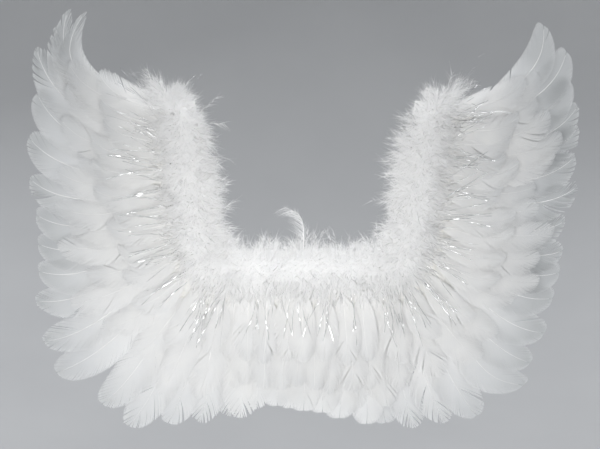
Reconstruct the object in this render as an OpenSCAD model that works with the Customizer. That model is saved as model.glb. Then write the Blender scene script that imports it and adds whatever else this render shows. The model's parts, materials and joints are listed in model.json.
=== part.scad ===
// Feathered costume wings on a folding wire frame, worn on the back with two elastic arm loops.
// X runs across the span, +Y points to the wearer, +Z is up.
// The origin is the centre of the back pad's contact face.

/* [Frame] */
// Half the straight bar across the back, from the centre to the start of a corner
bar_half = 84; // [80:1:90]
// Radius of each corner, on the centre line of the fluffy trim
corner_r = 30; // [28:1:34]
// How far each arm leans out from the vertical, in degrees
arm_lean = 8; // [4:1:12]
// Length of each arm above its corner
arm_len = 158; // [150:1:165]
// Distance from the centre to each fold rod
fold_x = 70; // [68:1:72]
// Diameter of the steel frame wire
wire_d = 2.8; // [2.4:0.1:3]
// Radial clearance of the wire coils on the fold rods
coil_clearance = 0.08; // [0.05:0.01:0.1]

/* [Back panel] */
// Width of the back pad
pad_w = 66; // [56:1:68]
// Height of the back pad
pad_h = 56; // [44:1:60]
// Thickness of the back pad
pad_t = 7; // [5:0.5:9]
// Thickness of the felt panels
felt_t = 1.2; // [0.8:0.1:1.6]

/* [Feathers] */
// Thickness of a feather's vane
vane_t = 0.5; // [0.3:0.1:0.5]
// Width of a flight feather
flight_w = 46; // [38:1:48]
// Width of a middle feather
middle_w = 40; // [34:1:42]
// Width of a covert feather
covert_w = 34; // [28:1:36]
// Length of a middle feather
middle_len = 116; // [105:1:120]
// Length of a covert feather
covert_len = 90; // [80:1:94]
// Flight feathers in each wing
flight_count = 18; // [16:1:19]
// Middle feathers in each wing
middle_count = 16; // [14:1:17]
// Covert feathers in each wing
covert_count = 14; // [12:1:15]

/* [Trim] */
// Radius of the fluffy marabou trim
trim_r = 24; // [20:0.5:24]
// Tinsel sprays in each wing
spray_count = 12; // [8:1:14]
// Length of the tinsel strands
tinsel_len = 62; // [50:1:66]

/* [Straps] */
// Width of the elastic arm loops
strap_w = 12; // [10:1:14]
// How far an arm loop stands out from the back panel
strap_reach = 110; // [80:1:112]
// How far the far end of an arm loop hangs down
strap_droop = 26; // [0:1:30]

/* [Hidden] */
$fn = 48;

// Directions and places in the plane of the wings, seen from the feather side: X right, Z up.
turn = 90 - arm_lean;                        // angle that the path turns through at a corner
bar_z = 30;                                  // height of the trim's centre line along the bar
corner = [bar_half, bar_z + corner_r];       // centre of a corner
wire_r = wire_d / 2;

// Depths, measured forward from the front of the base felt.
layer_gap = 0.2;
wire_h = -felt_t - layer_gap - wire_r;       // axis of the frame wires and fold rods
back_felt_h = wire_h - wire_r - layer_gap - felt_t;
base_y = -(pad_t + layer_gap) + back_felt_h; // the base felt's front face in Y

// Offsets from the trim's centre line, outward to the feathers. A row is its offset, the depth
// and pitch of its feathers, and how far they follow the flight feathers' fan.
felt_in = -16;
felt_out = 64;
felt_start = fold_x + 5;
wire_in = -9;
wire_out = 56;
wire_top = arm_len - 18;
wire_bend_r = 10;
frame_z = 43;                                // half the height of the centre wire frame
frame_mid_z = 7;                             // and the height of its middle
frame_bend_r = 5;
centre_felt = [2 * (fold_x - 5), 2 * (frame_z + 1)];
board = [124, 76, 2.4];
coil_r = wire_r + coil_clearance;
coil_h = 3 * wire_d;
tape_w = 8;
flight_u = 45;
middle_u = 30;
covert_u = 14;
flight_h = 1;
middle_h = 2.1;
covert_h = 3.2;
flight_pitch = -1.5;
tip_pitch = 0;                               // at the wing's tip, where the felt lies under them
middle_pitch = 2.8;
covert_pitch = 5.4;
middle_fan = 0.6;
covert_fan = 0.5;
shingle = 6;                                 // sideways tilt that lets neighbours overlap
quill_share = 0.17;                          // bare quill, as a share of a feather's length
quill_w = 2.6;
wing_start = fold_x + 5;                     // first root in a wing, along each row's path
fold_gap = 0.4;
joint_in = 0.4;                              // how far a straight run reaches into a bend
joint_slim = 0.02;                           // and how much slimmer it is there
centre_count = [9, 8, 7];                    // flight, middle and covert feathers over the bar
trim_u = -2;
trim_h = trim_r + 1.7;
cord_r = 1;
spray_u = 14;
spray_h = 7.2;
spray_pitch = 5.4;
centre_spray_pitch = 7;
strand_w = 1;
strand_t = 0.3;
strap_t = 1.4;
strap_x = 45;
strap_end_z = 26;
strap_bulge = 14;                            // how far the loop swells between its ends
tab_h = 14;
strap_start = 6;                             // slack between a sewn tab and its loop's rigid part

// Where the flight feathers' tips lie, by the distance of the root along its path: x, then z.
left_tips_x = [[75, 84], [100, 134], [120, 188], [140, 236], [160, 282], [180, 293], [220, 294],
    [260, 298], [300, 294], [318, 288], [336, 246]];
left_tips_z = [[75, -132], [100, -142], [120, -136], [140, -110], [160, -60], [180, -10], [220, 72],
    [260, 152], [300, 232], [318, 272], [336, 306]];
right_tips_x = [[75, 88], [100, 138], [120, 186], [140, 228], [160, 254], [180, 270], [220, 284],
    [260, 298], [300, 292], [318, 284], [336, 258]];
right_tips_z = [[75, -136], [100, -138], [120, -130], [140, -98], [160, -56], [180, -12], [220, 68],
    [260, 152], [300, 226], [318, 258], [336, 292]];
centre_flight_tips = [[-61, -128], [-30, -118], [5, -117], [16, -130], [61, -134]];
centre_middle_tips = [[-61, -101], [61, -106]];
centre_covert_tips = [[-61, -70], [61, -73]];
// How far a flight feather bows down from its chord, by the distance of its root along its path.
bows = [[75, 2], [100, 3], [120, 5], [140, 7], [160, 9], [180, 10], [220, 11], [318, 11], [336, 12]];

// A point at distance d along the path at offset u, and the outward direction there.
function arc_len(u) = (corner_r + u) * turn * PI / 180;
function bend(u, d) = min(max((d - bar_half) / (corner_r + u) * 180 / PI, 0), turn);
function outward(u, d) = bend(u, d) - 90;
function ray(angle) = [cos(angle), sin(angle)];
function path_point(u, d) =
    d < bar_half ? [d, bar_z - u]
    : corner + (corner_r + u) * ray(outward(u, d))
        + max(d - bar_half - arc_len(u), 0) * ray(turn);

// The same place on a path at another offset: the bar and arm keep their lengths.
function shifted(d, from, to) =
    d < bar_half ? d
    : d < bar_half + arc_len(from) ? bar_half + (d - bar_half) * arc_len(to) / arc_len(from)
    : d - arc_len(from) + arc_len(to);

function tip_of(tips, d) = [lookup(d, tips[0]), lookup(d, tips[1])];
function angle_of(v) = atan2(v[1], v[0]);
function path_total(u) = bar_half + arc_len(u) + arm_len - 13;
function root_at(u, i, n) = wing_start + (path_total(u) - wing_start) * i / (n - 1);

// Turns the plane of the wings up: drawing x is X, drawing y is Z and height is towards the front.
module stand() translate([0, base_y, 0]) rotate([90, 0, 0]) children();

module mirrored(side) {
    if (side == "left") mirror([1, 0, 0]) children();
    else children();
}

// Carries a profile, drawn as offset and depth, from x0 on the bar to arm_end on the arm. A second
// child is the arm's own profile, a hair slimmer, whose ends reach inside what they join.
module along_path(x0, arm_end, past = 0) {
    inside = $children > 1 ? joint_in : 0;
    translate([bar_half, bar_z, 0]) rotate([0, 0, -90]) rotate([90, 0, 0])
        linear_extrude(bar_half - x0) children(0);
    translate(corner) rotate([0, 0, -90]) rotate_extrude(angle = turn)
        translate([corner_r, 0]) children(0);
    translate(path_point(0, bar_half + arc_len(0) + arm_end + past)) rotate([0, 0, turn - 90])
        rotate([90, 0, 0]) linear_extrude(arm_end + past + inside) children($children - 1);
}

// Carries the same kind of profile across the back panel only.
module along_bar(half) translate([half, bar_z, 0]) rotate([0, 0, -90]) rotate([90, 0, 0])
    linear_extrude(2 * half) children();

module slab(u0, u1, h0, h1) translate([u0, h0]) square([u1 - u0, h1 - h0]);

// Half a feather's width at share t of its length: a bare quill, then a blunt leaf shape.
function leaf(t, w) =
    let (q = max((t - quill_share) / (1 - quill_share), 0))
    max(quill_w / 2 * (1 - t), w / 2 * pow(q, 0.55) * pow(max(1 - q, 0), 0.35) / 0.548);

// A feather's outline, root at the origin, tip at [len, 0], its quill bowed to one side, most near
// the tip.
module feather_shape(len, w, bow) {
    shares = [0, quill_share, 0.24, 0.33, 0.44, 0.56, 0.68, 0.79, 0.88, 0.95, 0.985];
    function quill(t) = [len * t, -6.75 * bow * t * t * (1 - t)];
    upper = [for (t = shares) quill(t) + [0, leaf(t, w)]];
    lower = [for (i = [len(shares) - 1:-1:0]) quill(shares[i]) - [0, leaf(shares[i], w)]];
    polygon(concat(upper, [[len, 0]], lower));
}

module feather(root, h, angle, pitch, tilt, len, w, bow)
    translate([root[0], root[1], h]) rotate([0, 0, angle]) rotate([0, -pitch, 0])
        rotate([tilt, 0, 0]) linear_extrude(vane_t) feather_shape(len, w, bow);

// Keeps the part of a feather beside a fold on its own side of it.
module outside_fold() {
    intersection() {
        children();
        translate([fold_x + fold_gap, -400, -50]) cube([400, 800, 100]);
    }
}
module inside_fold() {
    intersection() {
        children();
        translate([-fold_x + fold_gap, -400, -50]) cube([2 * (fold_x - fold_gap), 800, 100]);
    }
}

module flight_feather(tips, i) {
    d = root_at(flight_u, i, flight_count);
    root = path_point(flight_u, d);
    reach = tip_of(tips, d) - root;
    pitch = i > side_last ? tip_pitch : flight_pitch;
    feather(root, flight_h, angle_of(reach), pitch, -shingle, norm(reach), flight_w, lookup(d, bows));
}

module flight_feathers(side, tips, first, last)
    color("white") mirrored(side) stand() for (i = [first:last]) {
        if (i < 3) outside_fold() flight_feather(tips, i);
        else flight_feather(tips, i);
    }

// A wing's row of shorter feathers, which follows part of the flight feathers' fan.
module upper_feather(tips, i, n, u, h, pitch, fan, len, w) {
    d = root_at(u, i, n);
    below = shifted(d, u, flight_u);
    direct = angle_of(tip_of(tips, below) - path_point(flight_u, below));
    angle = outward(u, d) + fan * (direct - outward(u, d));
    feather(path_point(u, d), h, angle, pitch, -shingle, len, w, 0.7 * lookup(below, bows));
}

module upper_feathers(side, tips, n, u, h, pitch, fan, len, w)
    color("white") mirrored(side) stand() for (i = [0:n - 1]) {
        if (i < 3) outside_fold() upper_feather(tips, i, n, u, h, pitch, fan, len, w);
        else upper_feather(tips, i, n, u, h, pitch, fan, len, w);
    }

module middle_feathers(side, tips)
    upper_feathers(side, tips, middle_count, middle_u, middle_h, middle_pitch, middle_fan, middle_len, middle_w);

module covert_feathers(side, tips)
    upper_feathers(side, tips, covert_count, covert_u, covert_h, covert_pitch, covert_fan, covert_len, covert_w);

// A row over the bar. Each feather lies under its neighbour on the middle's side, and the one in the
// middle on both its neighbours. The tips' height is given across the span.
module centre_feathers(n, u, h, pitch, tips, w)
    color("white") stand() for (i = [0:n - 1]) {
        x = (fold_x - 9) * (2 * i / (n - 1) - 1);
        root = [x, bar_z - u];
        tilt = shingle * min(max(x / 20, -1), 1);
        rise = abs(x) < 8 ? 1.3 : 0;
        inside_fold() feather(root, h + rise, -90 + x * 0.04, pitch, tilt, root[1] - lookup(x, tips), w, 0);
    }

module feather_tape(side, u, top)
    color("ivory") mirrored(side) stand() along_path(felt_start, arm_len - 6)
        slab(u - tape_w / 2, u + tape_w / 2, 0.1, top);

module centre_tape(u, top)
    color("ivory") stand() along_bar(fold_x - 6) slab(u - tape_w / 2, u + tape_w / 2, 0.1, top);

module wing_felt(side, h)
    color("whitesmoke") mirrored(side) stand() along_path(felt_start, arm_len)
        slab(felt_in, felt_out, h, h + felt_t);

module centre_panel(size, h, t, tint)
    color(tint) stand() translate([-size[0] / 2, frame_mid_z - size[1] / 2, h]) cube([size[0], size[1], t]);

module wire_profile(u, slim = 0) translate([u, wire_h]) circle(wire_r - slim);

// Three close turns of the frame wire round a fold rod, standing at height z.
module wire_coil(z) translate([fold_x, z - coil_h / 2, wire_h]) rotate([-90, 0, 0]) difference() {
    cylinder(h = coil_h, r = coil_r + wire_d);
    translate([0, 0, -1]) cylinder(h = coil_h + 2, r = coil_r);
}

module wing_wire(side) color("silver") mirrored(side) stand() {
    start = fold_x + coil_r + wire_r;
    for (u = [wire_in, wire_out]) along_path(start, wire_top, joint_in) {
        wire_profile(u);
        wire_profile(u, joint_slim);
    }
    wire_coil(bar_z - wire_in);
    wire_coil(bar_z - wire_out);
    translate(path_point(0, bar_half + arc_len(0) + wire_top)) rotate([0, 0, turn - 90]) {
        translate([wire_in + wire_bend_r, 0, wire_h]) rotate([0, 0, 90])
            rotate_extrude(angle = 90) translate([wire_bend_r, 0]) circle(wire_r);
        translate([wire_out - wire_bend_r, 0, wire_h])
            rotate_extrude(angle = 90) translate([wire_bend_r, 0]) circle(wire_r);
        translate([wire_in + wire_bend_r, wire_bend_r, wire_h]) rotate([0, 90, 0])
            cylinder(h = wire_out - wire_in - 2 * wire_bend_r, r = wire_r);
    }
}

// The closed wire of the back panel, whose two upright sides are the fold rods.
module centre_wire_frame() color("silver") stand() translate([0, frame_mid_z, wire_h]) {
    inner = [fold_x - frame_bend_r, frame_z - frame_bend_r];
    for (x = [-1, 1]) {
        translate([x * fold_x, -inner[1], 0]) rotate([-90, 0, 0]) cylinder(h = 2 * inner[1], r = wire_r);
        translate([-inner[0], x * frame_z, 0]) rotate([0, 90, 0]) cylinder(h = 2 * inner[0], r = wire_r);
    }
    for (q = [0:3]) {
        sx = q == 0 || q == 3 ? 1 : -1;
        sy = q < 2 ? 1 : -1;
        translate([sx * inner[0], sy * inner[1], 0]) rotate([0, 0, 90 * q])
            rotate_extrude(angle = 90) translate([frame_bend_r, 0]) circle(wire_r);
    }
}

module back_pad() color("snow") rotate([90, 0, 0]) linear_extrude(pad_t) pad_outline();
module pad_outline() {
    r = 8;
    square([pad_w - 2 * r, pad_h], center = true);
    square([pad_w, pad_h - 2 * r], center = true);
    for (x = [-1, 1], y = [-1, 1]) translate([x * (pad_w / 2 - r), y * (pad_h / 2 - r)]) circle(r);
}

module trim_profile(slim = 0) translate([trim_u, trim_h]) difference() {
    circle(trim_r - slim);
    circle(cord_r + 0.3 + slim);
}
module wing_trim(side) color("white") mirrored(side) stand() along_path(fold_x + fold_gap, arm_len) {
    trim_profile();
    trim_profile(joint_slim);
}
module centre_trim() color("white") stand() along_bar(fold_x - fold_gap) trim_profile();
module cord_profile(slim = 0) translate([trim_u, trim_h]) circle(cord_r - slim);
module wing_trim_cord(side) color("ivory") mirrored(side) stand() along_path(fold_x + fold_gap, arm_len) {
    cord_profile();
    cord_profile(joint_slim);
}
module centre_trim_cord() color("ivory") stand() along_bar(fold_x - fold_gap) cord_profile();

// One spray of tinsel: flat strands that fan out of one point.
module spray(at, angle, len, pitch) translate([at[0], at[1], spray_h]) rotate([0, 0, angle])
    rotate([0, -pitch, 0]) linear_extrude(strand_t)
        for (k = [-1:1]) rotate(7 * k) translate([0, -strand_w / 2]) square([len * (1 - 0.12 * abs(k)), strand_w]);

module wing_tinsel(side, tips) color("gainsboro") mirrored(side) stand() for (i = [0:spray_count - 1]) {
    d = root_at(spray_u, i + 0.4, spray_count + 0.4);
    below = shifted(d, spray_u, flight_u);
    direct = angle_of(tip_of(tips, below) - path_point(flight_u, below));
    spray(path_point(spray_u, d), (direct + outward(spray_u, d)) / 2, tinsel_len, spray_pitch);
}
module centre_tinsel() color("gainsboro") stand()
    for (x = [-50:20:50]) spray([x, bar_z - spray_u], -90, tinsel_len, centre_spray_pitch);

// A small curled plume that stands out of the trim's upper edge.
module loose_plume() color("white") stand()
    feather([-5, bar_z - trim_u + trim_r + 0.5], trim_h, 108, 0, 0, 40, 15, -3);

// An arm loop hangs from two sewn tabs: y away from the back panel, z up.
function loop_point(t) = [strap_reach * pow(sin(180 * t), 0.75),
    strap_end_z * cos(180 * t) + strap_bulge * sin(360 * t) - strap_droop * pow(sin(180 * t), 2)];
function loop_side(t, s) =
    let (v = loop_point(min(t + 0.002, 1)) - loop_point(max(t - 0.002, 0)))
    loop_point(t) + s * strap_t / 2 * [-v[1], v[0]] / norm(v);

module strap(side) color("white") mirrored(side)
    translate([strap_x - strap_w / 2, -pad_t + strap_start, 0]) rotate([90, 0, 90]) linear_extrude(strap_w)
        difference() {
            polygon(concat([for (i = [0:36]) loop_side(i / 36, 1)],
                [for (i = [36:-1:0]) loop_side(i / 36, -1)]));
            translate([-10, -100]) square([10, 200]);
        }

module strap_tabs(side) color("white") mirrored(side)
    for (z = [strap_end_z - 2, 2 - strap_end_z - tab_h])
        translate([strap_x - strap_w / 2, -pad_t, z]) cube([strap_w, strap_t, tab_h]);

left_tips = [left_tips_x, left_tips_z];
right_tips = [right_tips_x, right_tips_z];
corner_last = 6;
side_last = flight_count - 6;

back_pad();
centre_panel(board, wire_h - board[2] / 2, board[2], "tan");  // back_board
centre_wire_frame();
centre_panel(centre_felt, back_felt_h, felt_t, "whitesmoke");  // centre_back_felt
centre_panel(centre_felt, -felt_t, felt_t, "whitesmoke");  // centre_base_felt
centre_tape(flight_u, flight_h - 0.1);  // centre_flight_tape
centre_tape(middle_u, middle_h - 0.1);  // centre_middle_tape
centre_tape(covert_u, covert_h - 0.1);  // centre_covert_tape
centre_feathers(centre_count[0], flight_u, flight_h, 0, centre_flight_tips, flight_w);  // centre_flight_feathers
centre_feathers(centre_count[1], middle_u, middle_h, middle_pitch + 1.2, centre_middle_tips, middle_w);  // centre_middle_feathers
centre_feathers(centre_count[2], covert_u, covert_h, covert_pitch + 1.6, centre_covert_tips, covert_w);  // centre_covert_feathers
centre_tinsel();
centre_trim_cord();
centre_trim();
loose_plume();
strap_tabs("left");  // left_strap_tabs
strap_tabs("right");  // right_strap_tabs
strap("left");  // left_strap
strap("right");  // right_strap

wing_wire("left");  // left_wing_wire
wing_felt("left", back_felt_h);  // left_back_felt
wing_felt("left", -felt_t);  // left_base_felt
feather_tape("left", flight_u, flight_h - 0.1);  // left_flight_tape
feather_tape("left", middle_u, middle_h - 0.1);  // left_middle_tape
feather_tape("left", covert_u, covert_h - 0.1);  // left_covert_tape
flight_feathers("left", left_tips, 0, corner_last);  // left_corner_feathers
flight_feathers("left", left_tips, corner_last + 1, side_last);  // left_flight_feathers
flight_feathers("left", left_tips, side_last + 1, flight_count - 1);  // left_tip_feathers
middle_feathers("left", left_tips);  // left_middle_feathers
covert_feathers("left", left_tips);  // left_covert_feathers
wing_tinsel("left", left_tips);  // left_tinsel
wing_trim_cord("left");  // left_trim_cord
wing_trim("left");  // left_trim

wing_wire("right");  // right_wing_wire
wing_felt("right", back_felt_h);  // right_back_felt
wing_felt("right", -felt_t);  // right_base_felt
feather_tape("right", flight_u, flight_h - 0.1);  // right_flight_tape
feather_tape("right", middle_u, middle_h - 0.1);  // right_middle_tape
feather_tape("right", covert_u, covert_h - 0.1);  // right_covert_tape
flight_feathers("right", right_tips, 0, corner_last);  // right_corner_feathers
flight_feathers("right", right_tips, corner_last + 1, side_last);  // right_flight_feathers
flight_feathers("right", right_tips, side_last + 1, flight_count - 1);  // right_tip_feathers
middle_feathers("right", right_tips);  // right_middle_feathers
covert_feathers("right", right_tips);  // right_covert_feathers
wing_tinsel("right", right_tips);  // right_tinsel
wing_trim_cord("right");  // right_trim_cord
wing_trim("right");  // right_trim
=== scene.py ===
"""Feathered costume wings: the visual model, camera and light.

Lengths in this file are in millimetres in the plane of the wings, seen from the feather side:
x to the right, z up, and h the height in front of the base felt. put() turns them into metres.
"""
import json
import math

import bpy
import numpy as np
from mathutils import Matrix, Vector


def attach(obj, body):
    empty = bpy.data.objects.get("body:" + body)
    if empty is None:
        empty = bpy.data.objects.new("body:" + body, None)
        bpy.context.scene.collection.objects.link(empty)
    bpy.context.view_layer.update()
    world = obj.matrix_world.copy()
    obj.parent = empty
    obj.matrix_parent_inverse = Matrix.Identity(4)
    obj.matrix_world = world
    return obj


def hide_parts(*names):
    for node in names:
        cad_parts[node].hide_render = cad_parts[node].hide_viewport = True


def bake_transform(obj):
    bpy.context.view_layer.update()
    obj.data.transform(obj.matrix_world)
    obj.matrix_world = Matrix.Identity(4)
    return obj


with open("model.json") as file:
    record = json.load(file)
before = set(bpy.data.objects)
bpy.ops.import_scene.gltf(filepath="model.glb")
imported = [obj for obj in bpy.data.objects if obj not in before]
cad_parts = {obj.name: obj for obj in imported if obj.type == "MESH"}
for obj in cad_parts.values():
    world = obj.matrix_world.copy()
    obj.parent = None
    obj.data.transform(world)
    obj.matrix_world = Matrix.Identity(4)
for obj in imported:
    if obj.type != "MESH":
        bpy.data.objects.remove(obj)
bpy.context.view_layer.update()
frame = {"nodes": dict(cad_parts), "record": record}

# ---- The frame of the wings, as in the CAD ----
# One path carries it all: half a bar, a corner of this radius and turn, and an arm. A row of roots is the
# path at an offset u outward, and d is the distance along it from the middle.
BAR, BAR_Z, CORNER_R, TURN, ARM = 84.0, 30.0, 30.0, 82.0, 158.0
FOLD_X = 70.0
BASE_Y = -12.8
WIRE_H, WIRE_R, COIL_R = -2.8, 1.4, 1.48
FLIGHT_U, MIDDLE_U, COVERT_U, SPRAY_U = 45.0, 30.0, 14.0, 14.0
TRIM_U, TRIM_H = -2.0, 25.7
FLIGHT_N, MIDDLE_N, COVERT_N, SPRAY_N = 18, 16, 14, 12
# where the flight feathers with roots at these distances have their tips (x, then z), and how far they bow
AT = [75, 100, 120, 140, 160, 180, 220, 244, 259, 275, 290, 305, 321, 336]
TIPS = {
    1: ([88, 138, 186, 228, 254, 270, 284, 294, 298, 296, 294, 290, 284, 264],
        [-136, -138, -130, -98, -56, -12, 68, 120, 150, 180, 208, 235, 264, 301]),
    -1: ([84, 134, 188, 236, 282, 293, 294, 297, 297, 296, 292, 273, 258, 240],
         [-132, -142, -136, -110, -60, -10, 72, 132, 178, 222, 276, 300, 308, 310]),
}
BOW = [2, 3, 5, 7, 9, 10, 11, 11, 11, 11, 11, 11, 11, 12]
CORNER_TO_SIDE = (100, 220)  # distances between which the painted shade on the feathers' tips grows and their quills grow thicker
FLIGHT_WIDTH, MIDDLE_WIDTH, COVERT_WIDTH = 46, 40, 34
FLIGHT_H, MIDDLE_H, COVERT_H = 1.0, 2.1, 3.2
SIDES = {1: "right", -1: "left"}


def arc(u):
    """The length of the corner at offset u."""
    return (CORNER_R + u) * math.radians(TURN)


def spine(u, d):
    """Points x, z at distances d along the path at offset u, and the outward angle there in degrees."""
    d = np.asarray(d, float)
    r = CORNER_R + u
    bend = np.clip((d - BAR) / r, 0, math.radians(TURN))
    past = np.clip(d - BAR - arc(u), 0, None)
    a = bend - math.pi / 2
    t = math.radians(TURN)
    x = np.where(d < BAR, d, BAR + r * np.cos(a) + past * math.cos(t))
    z = np.where(d < BAR, BAR_Z - u, BAR_Z + CORNER_R + r * np.sin(a) + past * math.sin(t))
    return x, z, np.degrees(a)


def shifted(d, a, b):
    """The distance along the path at offset b that matches d along the path at offset a."""
    if d < BAR:
        return d
    if d < BAR + arc(a):
        return BAR + (d - BAR) * arc(b) / arc(a)
    return d - arc(a) + arc(b)


def root_at(u, i, n):
    """How far along the path at offset u the i-th of a wing's n roots is."""
    total = BAR + arc(u) + ARM - 13
    return FOLD_X + 5 + (total - FOLD_X - 5) * i / (n - 1)


def fan(side, d):
    """A flight feather whose root is at distance d: its length, its angle and the outward angle there."""
    x, z, out = spine(FLIGHT_U, d)
    dx = np.interp(d, AT, TIPS[side][0]) - x
    dz = np.interp(d, AT, TIPS[side][1]) - z
    return math.hypot(dx, dz), math.degrees(math.atan2(dz, dx)), out


def put(x, z, h, side=1):
    """Points in metres from places in the wings' plane and heights; side -1 mirrors them."""
    x, z, h = (np.asarray(k, float) for k in (x, z, h))
    return np.stack([side * x, BASE_Y - h, z], -1) / 1000


def unit(v):
    return v / np.maximum(np.linalg.norm(v, axis=-1, keepdims=True), 1e-9)


# ---- Meshes from numpy ----
class Bag:
    """Collects quads for one piece."""

    def __init__(self):
        self.points, self.quads, self.mats, self.values, self.count = [], [], [], [], 0

    def add(self, v, q, mat=0, **values):
        """Adds points v and quads q with material number mat. Values are spread over the points."""
        row = {k: np.broadcast_to(a, v.shape[:-1]).ravel() for k, a in values.items()}
        v = v.reshape(-1, 3)
        self.points.append(v)
        self.quads.append(q + self.count)
        self.mats.append(np.full(len(q), mat))
        self.values.append((len(v), row))
        self.count += len(v)

    def make(self, name, mats, smooth=True, normals=None):
        v, q = np.concatenate(self.points), np.concatenate(self.quads)
        me = bpy.data.meshes.new(name)
        me.vertices.add(len(v))
        me.vertices.foreach_set("co", v.ravel().astype(np.float32))
        me.loops.add(len(q) * 4)
        me.loops.foreach_set("vertex_index", q.ravel().astype(np.int32))
        me.polygons.add(len(q))
        me.polygons.foreach_set("loop_start", np.arange(0, len(q) * 4, 4, dtype=np.int32))
        me.polygons.foreach_set("material_index", np.concatenate(self.mats).astype(np.int32))
        me.polygons.foreach_set("use_smooth", np.full(len(q), smooth))
        for k in sorted({k for _, row in self.values for k in row}):
            values = np.concatenate([row[k] if k in row else np.zeros(n) for n, row in self.values])
            me.attributes.new(k, "FLOAT", "POINT").data.foreach_set("value", values.astype(np.float32))
        for m in mats:
            me.materials.append(m)
        me.update(calc_edges=True)
        if normals is not None:
            me.normals_split_custom_set_from_vertices(normals)
        ob = bpy.data.objects.new(name, me)
        bpy.context.scene.collection.objects.link(ob)
        return ob


def skin(name, mat, v, q, **at):
    """A piece that is one skin of one material."""
    bag = Bag()
    bag.add(v, q, 0, **at)
    return bag.make(name, [mat])


def strip_quads(n, s):
    """Quads of n ribbons of s points each, whose vertices run [ribbon, point, edge]."""
    i = (np.arange(n)[:, None] * s + np.arange(s - 1)[None, :]).ravel() * 2
    return np.stack([i, i + 1, i + 3, i + 2], 1)


def ribbons(c, b, w):
    """Ribbons along centre lines c (n, s, 3), across directions b, with widths w (n, s)."""
    half = unit(b) * w[..., None] / 2
    return np.stack([c - half, c + half], 2), strip_quads(c.shape[0], c.shape[1])


def outward_faces(v, q):
    """Turns a closed skin's faces to the outside."""
    a, b, c, d = (v[q[:, k]] - v.mean(0) for k in range(4))
    volume = (a * np.cross(b, c)).sum() + (a * np.cross(c, d)).sum()
    return v, q if volume > 0 else q[:, ::-1]


def loft(rings, closed=False):
    """A skin through rings (s, m, 3) with m even, capped at both ends unless closed."""
    s, m, _ = rings.shape
    q = []
    for i in range(s if closed else s - 1):
        j = (i + 1) % s
        a = np.arange(m)
        q.append(np.stack([i * m + a, i * m + (a + 1) % m, j * m + (a + 1) % m, j * m + a], 1))
    if not closed:
        k = np.arange(m // 2 - 1)
        cap = np.stack([k, m - 1 - k, m - 2 - k, k + 1], 1)
        q += [cap, cap[:, ::-1] + (s - 1) * m]
    return outward_faces(rings.reshape(-1, 3), np.concatenate(q))


def tube(path, r, sides=8, closed=False, flat=1.0, up=(0, 0, 1)):
    """A round or flattened tube along path (s, 3), with radius r or one for each point."""
    path = np.asarray(path, float)
    d = unit(np.roll(path, -1, 0) - np.roll(path, 1, 0)) if closed else unit(np.gradient(path, axis=0))
    side = unit(np.cross(d, np.asarray(up, float)))
    weak = np.linalg.norm(np.cross(d, np.asarray(up, float)), axis=1) < 0.05
    side[weak] = unit(np.cross(d[weak], (1.0, 0.03, 0.1)))
    top = np.cross(side, d)
    a = 2 * math.pi * (np.arange(sides) + 0.5) / sides
    r = np.broadcast_to(np.asarray(r, float), (len(path),))[:, None, None]
    ring = side[:, None] * np.cos(a)[None, :, None] + flat * top[:, None] * np.sin(a)[None, :, None]
    return loft(path[:, None] + r * ring, closed)


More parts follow.
